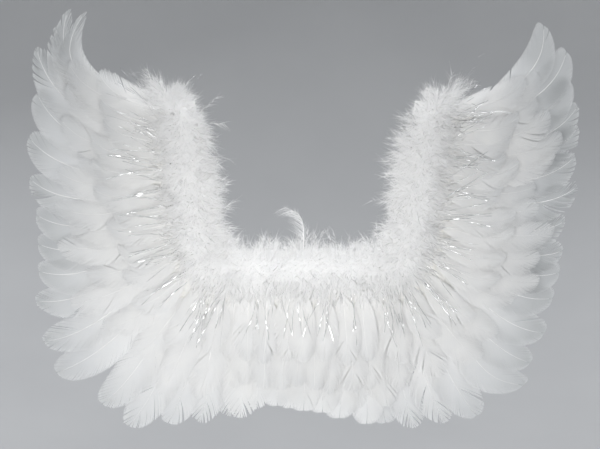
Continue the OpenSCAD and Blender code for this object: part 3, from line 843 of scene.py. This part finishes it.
def strands(bag, at, angle, rng, count, side, length, spread=14):
    """One spray of thin film strips that fan out of one point, in a few bundles."""
    n, s = count, 30
    tau = np.linspace(0, 1, s)
    bundle = rng.normal(0, spread, 3)[rng.integers(0, 3, n)]
    a = np.radians(angle + bundle + rng.normal(0, 3.5, n))
    l = rng.uniform(*length, n)
    veer = rng.normal(0, 0.08, n)[:, None]
    r = l[:, None] * tau
    ca, sa = np.cos(a)[:, None], np.sin(a)[:, None]
    x = at[0] + rng.normal(0, 3, n)[:, None] + ca * r - sa * veer * r * tau
    z = at[1] + rng.normal(0, 3, n)[:, None] + sa * r + ca * veer * r * tau
    kink = rng.uniform(0, 6.28, n)[:, None] + tau * rng.uniform(5, 12, n)[:, None]
    x = x + 0.3 * np.sin(kink * 1.7)
    h = 11 + rng.uniform(0, 4.0, n)[:, None] + 0.03 * r
    h = h + 3 * np.sin(math.pi * tau) ** 2 * rng.uniform(0.2, 1, n)[:, None] + 0.7 * np.sin(kink * 2.3)
    c = put(x, z, h, side)
    turn = rng.uniform(-0.9, 0.9, n)[:, None] + tau * rng.normal(0, 1.6, n)[:, None]
    turn = turn + 0.5 * np.sin(kink * 1.3)
    d = unit(np.gradient(c, axis=1))
    one = unit(np.cross(d, (0.0, 1.0, 0.0)))
    two = np.cross(d, one)
    b = one * np.cos(turn)[..., None] + two * np.sin(turn)[..., None]
    v, q = ribbons(c, b, np.full((n, s), STRIP_WIDTH))
    bag.add(v, q, 0, tone=rng.uniform(0, 1, n)[:, None, None])


def wing_tinsel(side, seed):
    rng = np.random.default_rng(seed)
    bag = Bag()
    for i in range(SPRAY_N):
        d = root_at(SPRAY_U, i + 0.4, SPRAY_N + 0.4)
        x, z, out = spine(SPRAY_U, d)
        _, direct, _ = fan(side, shifted(d, SPRAY_U, FLIGHT_U))
        strands(bag, (x, z), (direct + out) / 2, rng, rng.integers(6, 10), side, (44, 74))
    if side < 0:  # one strip stands up out of the end of the arm
        strands(bag, (136, 216), 115, rng, 2, side, (34, 37), 2)
    ob = bag.make(SIDES[side] + "_tinsel_sprays", [TINSEL], smooth=False)
    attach(ob, SIDES[side] + "_wing")
    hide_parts(SIDES[side] + "_tinsel")


def centre_tinsel():
    rng = np.random.default_rng(303)
    bag = Bag()
    for x in np.arange(-50, 51, 20):
        strands(bag, (x, BAR_Z - SPRAY_U), -90, rng, rng.integers(3, 6), 1, (44, 72))
    ob = bag.make("centre_tinsel_sprays", [TINSEL], smooth=False)
    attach(ob, "back_panel")
    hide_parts("centre_tinsel")


# ---- Felt, wires, pad and straps ----
LOOP_X = 45.0
FELT_U = (-16.0, 64.0)
WIRE_U = (-9.0, 56.0)
FELT_THICK = 1.15
BACK_H = -5.6  # the back felt's outer face where it lies over a wire
PAD_W, PAD_H, PAD_Y = 31.0, 26.0, -3.6  # the pad's half width and half height, and its middle


def wing_felt(side, name, node, lift):
    """A felt panel on a wing. lift(u, k) is the pair of heights of its two faces on the k-th ring."""
    u = np.concatenate([[FELT_U[0], -15.6], np.linspace(-14.5, 62.5, 40), [63.6, FELT_U[1]]])
    # its rings: along the bar, as shares of the turn round the corner, and up the arm
    bar, corner, arm = np.linspace(FOLD_X + 5, BAR, 4)[:-1], np.linspace(0, 1, 22), np.linspace(4, ARM, 44)
    turn = math.radians(TURN)
    rings = []
    for k, d in enumerate(np.concatenate([bar, corner, arm])):
        front, back = lift(u, k)
        if k < len(bar):
            x, z = np.full(len(u), d), BAR_Z - u
        else:
            share, past = (d, 0) if k < len(bar) + len(corner) else (1, d)
            a = turn * share - math.pi / 2
            x = BAR + (CORNER_R + u) * math.cos(a) + past * math.cos(turn)
            z = BAR_Z + CORNER_R + (CORNER_R + u) * math.sin(a) + past * math.sin(turn)
        rings.append(np.concatenate([put(x, z, front, side), put(x[::-1], z[::-1], back[::-1], side)]))
    ob = skin(name, FELT, *loft(np.array(rings)))
    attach(ob, SIDES[side] + "_wing")
    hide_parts(node)


def tent(u, where, high, low, wide=5.0):
    """Height of cloth that rises to high over each wire and falls to low between them."""
    top = np.zeros_like(u)
    for w in where:
        top = np.maximum(top, np.exp(-((u - w) / wide) ** 2))
    return low + (high - low) * top


def rim_of(u):
    """How much a felt panel's faces close in at its two cut edges."""
    return np.where((u < FELT_U[0] + 0.1) | (u > FELT_U[1] - 0.1), 0.45, 0.0)


def base_lift(u, k):
    rim = rim_of(u)
    ripple = 0.12 * np.sin(u * 0.31 + k * 0.4)
    return -0.05 - rim + np.minimum(ripple, 0), rim - FELT_THICK + np.minimum(ripple, 0)


def back_lift(u, k):
    rim = rim_of(u)
    out = tent(u, WIRE_U, BACK_H, BACK_H + 2.0) + 0.18 * np.sin(u * 0.23 + k * 0.35)
    out = np.maximum(out, BACK_H)
    return out + FELT_THICK - rim, out + rim


def centre_felt(name, node, out):
    """A felt panel of the back panel; out is the height of the face away from the wires."""
    xs, zs = np.linspace(-65, 65, 60), np.linspace(-37, 51, 44)
    low, high = zs[[0, -1]]
    toward = 1 if out < 0 else -1
    rings = []
    for x in xs:
        across = np.full(len(zs), x)
        rim = np.where((zs == low) | (zs == high), 0.4, 0.0) + (0.35 if abs(x) == xs[-1] else 0.0)
        wave = 0.07 * np.sin(x * 0.2 + zs * 0.13)
        away, near = out + toward * (0.1 + wave + rim), out + toward * (FELT_THICK - rim)
        rings.append(np.concatenate([put(across, zs, away), put(across, zs[::-1], near[::-1])]))
    ob = skin(name, FELT, *loft(np.array(rings)))
    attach(ob, "back_panel")
    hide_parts(node)


def wing_wire(side):
    """The wing's wire: its two runs, the bends at its top, and three close turns round each fold rod."""
    bag = Bag()

    def add_wire(path):
        v, q = tube(put(*path.T, side), WIRE_R / 1000, 8, up=(0, 1, 0.02))
        bag.add(v, q)

    r = COIL_R + WIRE_R
    straight = ARM - 28  # how far both runs go up the arm before its end bends
    turns, pitch = 3, 2.8565  # the pitch is just over the wire's thickness
    for u in WIRE_U:
        a = np.linspace(0, turns * 2 * math.pi, 91)
        rise = BAR_Z - u - 2.9 + pitch * a / (2 * math.pi)
        coil = np.stack([FOLD_X + r * np.cos(a[::-1]), rise, WIRE_H + r * np.sin(a[::-1])], 1)
        corner = np.linspace(BAR, BAR + arc(u), 26)
        arm = BAR + arc(u) + np.linspace(4, straight, 26)
        x, z, _ = spine(u, np.concatenate([np.linspace(FOLD_X + r + 1.5, BAR, 8)[:-1], corner, arm]))
        run = np.stack([x, z, np.full(len(x), WIRE_H)], 1)
        run[0] = (FOLD_X + r + 2.5, (coil[-1][1] + z[0]) / 2, WIRE_H)
        add_wire(np.concatenate([coil, run]))
    # the end of the arm: over from one run to the other, in two bends
    t, e = math.radians(TURN), math.radians(TURN - 90)
    x0, z0, _ = spine(0, BAR + arc(0) + straight)
    pts = []
    for (cu, start, stop) in ((1.0, 180, 90), (46.0, 90, 0)):
        for b in np.radians(np.linspace(start, stop, 12)):
            pts.append((cu + 10 * math.cos(b), 10 * math.sin(b)))
    u, s = np.array([(WIRE_U[0], 0.0)] + pts + [(WIRE_U[1], 0.0)]).T
    x = x0 + u * math.cos(e) + s * math.cos(t)
    z = z0 + u * math.sin(e) + s * math.sin(t)
    add_wire(np.stack([x, z, np.full(len(u), WIRE_H)], 1))
    ob = bag.make(SIDES[side] + "_frame_wire", [WIRE])
    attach(ob, SIDES[side] + "_wing")
    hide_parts(SIDES[side] + "_wing_wire")


def stitches(name, points, body, length=3.2, r=0.28):
    """Short raised stitches. points has a place and a direction for each, and each arches towards +Y."""
    bag = Bag()
    t = np.linspace(-1, 1, 7)
    for p, d in points:
        line = np.array(p) + np.array(d) * (t * length / 2)[:, None]
        line[:, 1] += 0.5 * (1 - t ** 2) - 0.25
        v, q = tube(line / 1000, r / 1000, 6)
        bag.add(v, q)
    ob = bag.make(name, [THREAD])
    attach(ob, body)


def felt_stitches(side):
    """Running stitches on the back of a wing: beside both wires."""
    points = []
    y = BASE_Y + 4.3
    for u in (WIRE_U[0] - 3.8, WIRE_U[1] + 4.2):
        total = BAR + arc(u) + ARM - 6
        for d in np.arange(FOLD_X + 9, total, 5.6):
            x, z, out = spine(u, d)
            o = math.radians(out)
            points.append(((side * x, y, z), (side * -math.sin(o), 0, math.cos(o))))
    stitches(SIDES[side] + "_felt_stitching", points, SIDES[side] + "_wing")


def loop_line():
    """The middle line of an arm loop, from the end of one tab to the end of the other."""
    t = np.linspace(0, 1, 110)
    s = np.sin(math.pi * t)
    y = -1.0 + 110 * np.clip(s, 0, None) ** 0.75
    z = 26 * np.cos(math.pi * t) + 14 * np.sin(2 * math.pi * t) - 26 * s ** 2
    keep = y > 6
    y, z = y[keep], z[keep]
    top = [(-6.35, 37.5), (-6.35, 34), (-6.35, 30.5), (-6.1, 28.2), (-5.0, 26.7), (-2.8, 26.2), (0.6, 26.3)]
    low = [(a, -b) for a, b in top[::-1]]
    return np.concatenate([np.array(top), np.stack([y, z], 1), np.array(low)])


def strap(side):
    """An arm loop of ribbed elastic with a flat tab at each end."""
    line = loop_line()
    d = unit(np.gradient(line, axis=0))
    n = np.stack([-d[:, 1], d[:, 0]], 1)
    half = [0, 0.7, 1.4, 2.2, 2.9, 3.6, 4.3, 5.0, 5.8, 6.0]
    w = np.array([-x for x in half[:0:-1]] + half)
    thick = np.array([0.3, 0.55] + [0.7 - 0.08 * (k % 2) for k in range(15)] + [0.55, 0.3])
    run = np.concatenate([[0], np.cumsum(np.linalg.norm(np.diff(line, axis=0), axis=1))])
    rings, across, along = [], [], []
    for p, m, s in zip(line, n, run):
        ring = []
        for x, k in list(zip(w, thick)) + list(zip(w[::-1], -thick[::-1])):
            ring.append((side * (LOOP_X + x), p[0] + m[0] * k, p[1] + m[1] * k))
        rings.append(ring)
        across += list(np.concatenate([w, w[::-1]]) / 12 + 0.5)
        along += [s / run[-1]] * (2 * len(w))
    ob = skin(SIDES[side] + "_arm_loop", ELASTIC, *loft(np.array(rings) / 1000),
              across=across, along=along)
    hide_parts(SIDES[side] + "_strap", SIDES[side] + "_strap_tabs")
    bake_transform(ob)


def tab_stitches(side):
    """A crossed box of stitches on each tab of an arm loop."""
    points = []
    a, b, c, e = (-4.4, -3.6), (4.4, -3.6), (4.4, 3.6), (-4.4, 3.6)
    for zc in (33.0, -33.0):
        for (xa, za), (xb, zb) in ((a, b), (b, c), (c, e), (e, a), (a, c), (e, b)):
            long = math.hypot(xb - xa, zb - za)
            k = max(int(long / 2.0), 1)
            for j in range(k):
                f = (j + 0.5) / k
                points.append(((side * (LOOP_X + xa + (xb - xa) * f), -5.55, zc + za + (zb - za) * f),
                               (side * (xb - xa) / long, 0, (zb - za) / long)))
    stitches(SIDES[side] + "_tab_stitching", points, "back_panel", 1.5, 0.2)


def pad_outline(grow, count=96):
    pts = []
    for a in np.linspace(0, 2 * math.pi, count, endpoint=False):
        c, s = math.cos(a), math.sin(a)
        k = (abs(c / (PAD_W + grow)) ** 5 + abs(s / (PAD_H + grow)) ** 5) ** (-1 / 5)
        pts.append((k * c, k * s))
    return np.array(pts)


def puffed(ob, rest, held):
    """Where a pad's points come to rest when its filling pushes the cloth out and some of it is held."""
    group = ob.vertex_groups.new(name="held")
    group.add([int(i) for i in np.where(held)[0]], 1.0, "REPLACE")
    cl = ob.modifiers.new("cloth", "CLOTH")
    cloth = cl.settings
    cloth.quality, cloth.mass = 6, 0.15
    cloth.use_pressure, cloth.uniform_pressure_force = True, 5.0
    cloth.tension_stiffness = cloth.compression_stiffness = 12
    cloth.bending_stiffness = 0.4
    cloth.vertex_group_mass = "held"
    cloth.effector_weights.gravity = 0
    cl.collision_settings.use_collision = False
    cl.point_cache.frame_start, cl.point_cache.frame_end = 1, 16
    for f in range(1, 17):
        bpy.context.scene.frame_set(f)
    ev = ob.evaluated_get(bpy.context.evaluated_depsgraph_get())
    got = np.array([x.co for x in ev.data.vertices])
    ob.modifiers.remove(cl)
    ob.vertex_groups.clear()
    bpy.context.scene.frame_set(1)
    move = got - rest
    most = 0.0028  # how far the filling may push the cloth
    return rest + move * np.minimum(1, most / np.maximum(np.linalg.norm(move, axis=1, keepdims=True), 1e-9))


def back_pad():
    """A small stuffed pad, puffed up by a cloth simulation, with a stitched channel and piping."""
    # from the middle of the back out, over the rim, and in again over the front
    half = [(f, 2.0) for f in [0.012, *np.linspace(0.12, 0.94, 12)]] + [(1.0, 1.2)]
    ring = pad_outline(0)
    rings = []
    for f, t in half + [(f, -t) for f, t in half[::-1]]:
        rings.append([(x * f, PAD_Y + t, z * f) for x, z in ring])
    ob = skin("back_pad_cushion", PAD, *loft(np.array(rings) / 1000))
    bpy.context.view_layer.objects.active = ob
    ob.select_set(True)
    re = ob.modifiers.new("remesh", "REMESH")
    re.mode, re.voxel_size, re.use_smooth_shade = "VOXEL", 0.0016, True
    bpy.ops.object.modifier_apply(modifier=re.name)
    me = ob.data
    rest = np.array([x.co for x in me.vertices])
    x, z = rest[:, 0], rest[:, 2]
    k = ((np.abs(x) / (PAD_W / 1000)) ** 5 + (np.abs(z) / (PAD_H / 1000)) ** 5) ** 0.2  # 1 at the outline
    got = puffed(ob, rest, k > 0.93)
    # seams come after the remesh: a channel all round and a cross in the middle
    cross = np.exp(-(x / 0.0012) ** 2) + np.exp(-(z / 0.0012) ** 2)
    groove = np.exp(-((k - 0.80) / 0.03) ** 2) + 0.8 * cross * (k < 0.8)
    got[:, 1] -= np.sign(got[:, 1] - PAD_Y / 1000) * 0.0011 * np.clip(groove, 0, 1)
    got[:, 1] -= max(got[:, 1].max() - 0.0004, 0)
    me.vertices.foreach_set("co", got.ravel().astype(np.float32))
    me.update()
    sub = ob.modifiers.new("smooth", "SUBSURF")
    sub.levels = sub.render_levels = 1
    bpy.ops.object.modifier_apply(modifier=sub.name)
    me.polygons.foreach_set("use_smooth", np.full(len(me.polygons), True))
    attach(ob, "back_panel")
    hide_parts("back_pad")
    ring = pad_outline(0.4, 160)
    line = np.stack([ring[:, 0], np.full(160, PAD_Y - 0.3), ring[:, 1]], 1) / 1000
    pipe = skin("back_pad_piping", PAD, *tube(line, 0.0012, 10, closed=True, up=(0, 1, 0)))
    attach(pipe, "back_panel")


# ---- Camera ----
camera = bpy.data.cameras.new("camera")
camera.sensor_width = 36
view_from = bpy.data.objects.new("camera", camera)
bpy.context.scene.collection.objects.link(view_from)
reach, seen_width = 1.6, 0.650
camera.lens = camera.sensor_width * reach / seen_width
view_from.location = (-0.0054, -reach - 0.018, 0.0796)
view_from.rotation_euler = (math.pi / 2, 0, 0)
bpy.context.scene.camera = view_from

# ---- Build ----
for side in (1, -1):
    name, k = SIDES[side], 10 if side == 1 else 50
    wing_row(side, name + "_corner_flight_feathers", name + "_corner_feathers", 0, 6, k + 1)
    wing_row(side, name + "_side_flight_feathers", name + "_flight_feathers", 7, 12, k + 2)
    wing_row(side, name + "_tip_flight_feathers", name + "_tip_feathers", 13, 17, k + 3)
    upper_row(side, name + "_middle_feather_row", name + "_middle_feathers", MIDDLE_N, MIDDLE_U, MIDDLE_H,
              2.8, 0.6, 116, MIDDLE_WIDTH, k + 4)
    upper_row(side, name + "_covert_feather_row", name + "_covert_feathers", COVERT_N, COVERT_U, COVERT_H,
              5.4, 0.5, 90, COVERT_WIDTH, k + 5)
    wing_tinsel(side, k + 6)
    marabou(side, k + 7)
    wing_wire(side)
    wing_felt(side, name + "_base_felt_panel", name + "_base_felt", base_lift)
    wing_felt(side, name + "_back_felt_panel", name + "_back_felt", back_lift)
    felt_stitches(side)
    strap(side)
    tab_stitches(side)

centre_row("centre_flight_feather_row", "centre_flight_feathers", 9, FLIGHT_U, FLIGHT_H, 0.0,
           ([-61, -30, 5, 16, 61], [-128, -120, -121, -130, -134]), FLIGHT_WIDTH, 91)
centre_row("centre_middle_feather_row", "centre_middle_feathers", 8, MIDDLE_U, MIDDLE_H, 4.0,
           ([-61, 61], [-101, -106]), MIDDLE_WIDTH, 92)
centre_row("centre_covert_feather_row", "centre_covert_feathers", 7, COVERT_U, COVERT_H, 7.0,
           ([-61, 61], [-70, -73]), COVERT_WIDTH, 93)
centre_tinsel()
plume()
centre_felt("centre_base_felt_panel", "centre_base_felt", 0.0)
centre_felt("centre_back_felt_panel", "centre_back_felt", BACK_H)
back_pad()

finish = {"board": BOARD, "wire": WIRE, "tape": TAPE, "felt": FELT, "cord": THREAD}
slots = {s["node"]: s["material_slot"] for s in frame["record"]["subparts"]}
for node, ob in frame["nodes"].items():
    if slots[node] in finish and not ob.hide_render:
        for s in ob.material_slots:
            s.material = finish[slots[node]]

# ---- Studio: a pale bowl-shaped backdrop all round, and soft lights ----
bowl = Bag()
curve = np.linspace(0, math.pi / 2, 20)
radii = np.concatenate([np.linspace(0.02, 0.9, 6), 1.0 + 2.5 * np.sin(curve), [3.5, 3.5]])
lift = np.concatenate([np.zeros(6), 2.5 * (1 - np.cos(curve)), [2.8, 3.2]])
sides = 96
a = np.linspace(0, 2 * math.pi, sides, endpoint=False)
rings = np.array([[(r * math.cos(t), r * math.sin(t), z - 0.45) for t in a] for r, z in zip(radii, lift)])
v, q = loft(rings)
bowl.add(v, q[:-(sides // 2 - 1)])  # all but the cap over its top
m = Nodes("studio_floor")
grey = m.ramp(m.noise(3.0, 4.0), (0.3, (0.36, 0.364, 0.372)), (0.7, (0.38, 0.384, 0.391)))
m.set(Base_Color=grey, Roughness=0.9)
floor = bowl.make("studio_floor", [m.mat])

world = bpy.data.worlds.new("studio")
bpy.context.scene.world = world
world.use_nodes = True
sky = world.node_tree.nodes["Background"].inputs
sky["Color"].default_value = (0.96, 0.98, 1.0, 1)
sky["Strength"].default_value = 1.0


def lamp(name, at, size, power, colour, target=(0, 0, 0.08), spread=180):
    light = bpy.data.lights.new(name, "AREA")
    light.shape = "RECTANGLE"
    light.spread = math.radians(spread)
    light.size, light.size_y = size
    light.energy, light.color = power, colour
    ob = bpy.data.objects.new(name, light)
    bpy.context.scene.collection.objects.link(ob)
    ob.location = at
    ob.rotation_euler = (Vector(target) - Vector(at)).to_track_quat("-Z", "Y").to_euler()
    ob.visible_camera = False


lamp("key", (-0.12, -0.65, -0.12), (0.3, 0.3), 0.98, (1.0, 0.995, 0.985), (-0.02, 0, 0.02), 100)
lamp("slant", (-1.3, -0.9, 1.2), (0.5, 0.5), 4, (1.0, 0.99, 0.98))
lamp("fill", (0.75, -1.0, 0.1), (0.2, 0.2), 2.2, (0.99, 0.995, 1.0))
lamp("back_left", (-1.4, 1.8, 1.3), (1.0, 1.0), 20, (0.97, 0.98, 1.0))
lamp("back_right", (1.5, 1.7, 1.2), (1.0, 1.0), 16, (0.97, 0.98, 1.0))
lamp("top", (0, 0, 2.3), (1.2, 1.2), 14, (1.0, 1.0, 1.0))
bpy.context.scene.view_settings.view_transform = "Standard"
